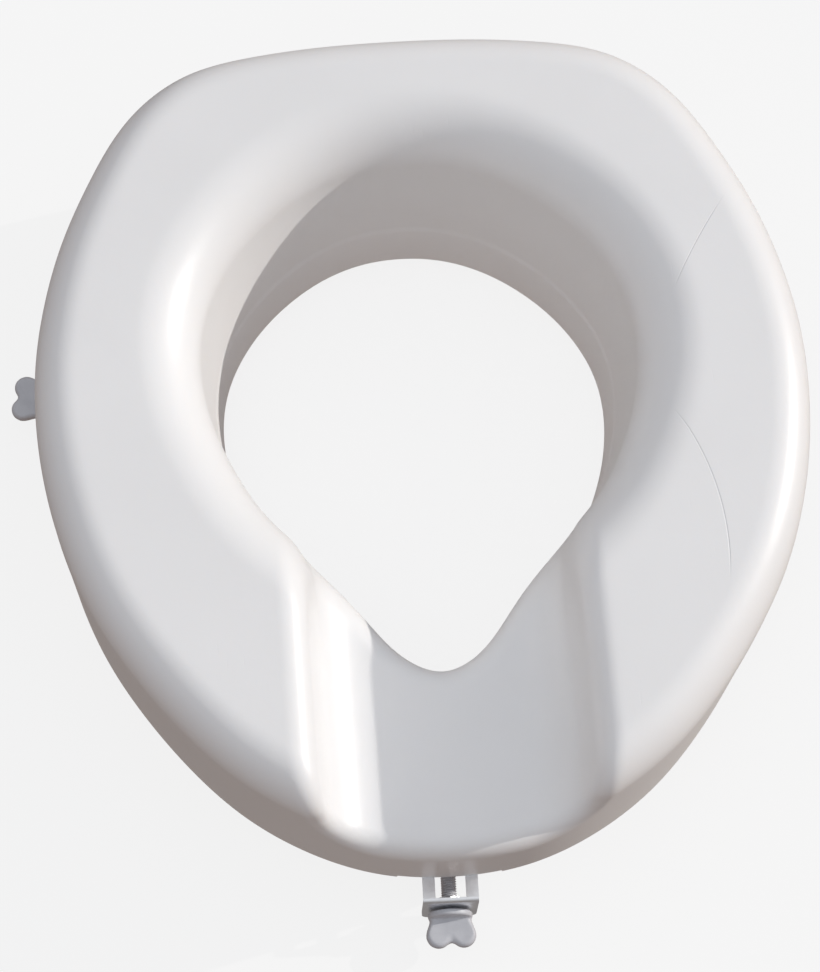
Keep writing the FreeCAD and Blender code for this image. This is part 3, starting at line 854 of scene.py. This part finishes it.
def stage():
    s = 6.0
    me = bpy.data.meshes.new("floor")
    me.from_pydata([(-s, -s, 0), (s, -s, 0), (s, s, 0), (-s, s, 0)], [], [(0, 1, 2, 3)])
    ob = link(bpy.data.objects.new("floor", me))
    m = Mat("floor_pale", 0.9)
    grain = m.noise(3.0, 2, 0.5)
    m.set(Base_Color=m.mix(grain, (0.10, 0.10, 0.10), (0.09, 0.09, 0.09)), Emission_Color=(1, 1, 1, 1),
          Emission_Strength=FLOOR, Specular_IOR_Level=0.0)
    # seen from above only
    out = next(n for n in m.t.nodes if n.type == "OUTPUT_MATERIAL")
    two = m.node("MixShader", {0: m.node("NewGeometry").outputs["Backfacing"], 1: m.b.outputs[0],
                               2: m.node("BsdfTransparent").outputs[0]})
    m.t.links.new(two.outputs[0], out.inputs[0])
    ob.data.materials.append(m.done())
    ob.visible_diffuse = False
    ob.visible_glossy = False


FLOOR = 0.84
stage()

cam = bpy.data.cameras.new("camera")
cam.lens = 97.74
cam.sensor_width = 36.0
cam.clip_start, cam.clip_end = 0.05, 50.0
eye = link(bpy.data.objects.new("camera", cam))
right = Vector((0.99657, -0.07844, 0.02634)).normalized()
look = Vector((0.05314, 0.36263, -0.93042)).normalized()
up = right.cross(look).normalized()
right = look.cross(up).normalized()
eye.matrix_world = Matrix(((right.x, up.x, -look.x, -0.08138), (right.y, up.y, -look.y, -0.49867),
                           (right.z, up.z, -look.z, 1.34054), (0, 0, 0, 1)))
bpy.context.scene.camera = eye


def sun(name, toward, strength, degrees, colour):
    d = bpy.data.lights.new(name, "SUN")
    d.energy, d.angle, d.color = strength, math.radians(degrees), colour
    ob = link(bpy.data.objects.new(name, d))
    ob.matrix_world = Vector(toward).to_track_quat("Z", "Y").to_matrix().to_4x4()


sun("key", (0.898, 0.190, 0.392), 2.05, 0.6, (1.0, 0.96, 0.91))

world = bpy.data.worlds.new("studio")
world.use_nodes = True
bpy.context.scene.world = world
wt = world.node_tree
bg = wt.nodes["Background"]
tc = wt.nodes.new("ShaderNodeTexCoord")
sep = wt.nodes.new("ShaderNodeSeparateXYZ")
wt.links.new(tc.outputs["Generated"], sep.inputs[0])
ramp = wt.nodes.new("ShaderNodeValToRGB")
mr = wt.nodes.new("ShaderNodeMapRange")
mr.inputs["From Min"].default_value = -1.0
wt.links.new(sep.outputs[2], mr.inputs[0])
wt.links.new(mr.outputs[0], ramp.inputs[0])
# an open sky over a brown ground, with a duller band along the horizon
stops = [(0.00, (0.26, 0.205, 0.175)), (0.30, (0.25, 0.18, 0.145)), (0.49, (0.235, 0.145, 0.10)), (0.56, (0.17, 0.12, 0.095)),
         (0.68, (0.32, 0.305, 0.305)), (0.82, (0.57, 0.58, 0.605)), (1.00, (0.74, 0.765, 0.82))]
e = ramp.color_ramp.elements
while len(e) < len(stops):
    e.new(0.5)
for el, (at, col) in zip(e, stops):
    el.position, el.color = at, (*col, 1)
# what the metal mirrors is greyer and darker below than what lights the seat
ray = wt.nodes.new("ShaderNodeLightPath")
dim = wt.nodes.new("ShaderNodeHueSaturation")
dim.inputs["Saturation"].default_value = 0.35
pick = wt.nodes.new("ShaderNodeMix")
pick.data_type = "RGBA"
wt.links.new(ramp.outputs[0], dim.inputs["Color"])
wt.links.new(ray.outputs["Is Glossy Ray"], pick.inputs[0])
wt.links.new(ramp.outputs[0], pick.inputs[6])
wt.links.new(dim.outputs[0], pick.inputs[7])
wt.links.new(pick.outputs[2], bg.inputs[0])
bg.inputs[1].default_value = 1.0
bpy.context.scene.view_settings.view_transform = "Standard"

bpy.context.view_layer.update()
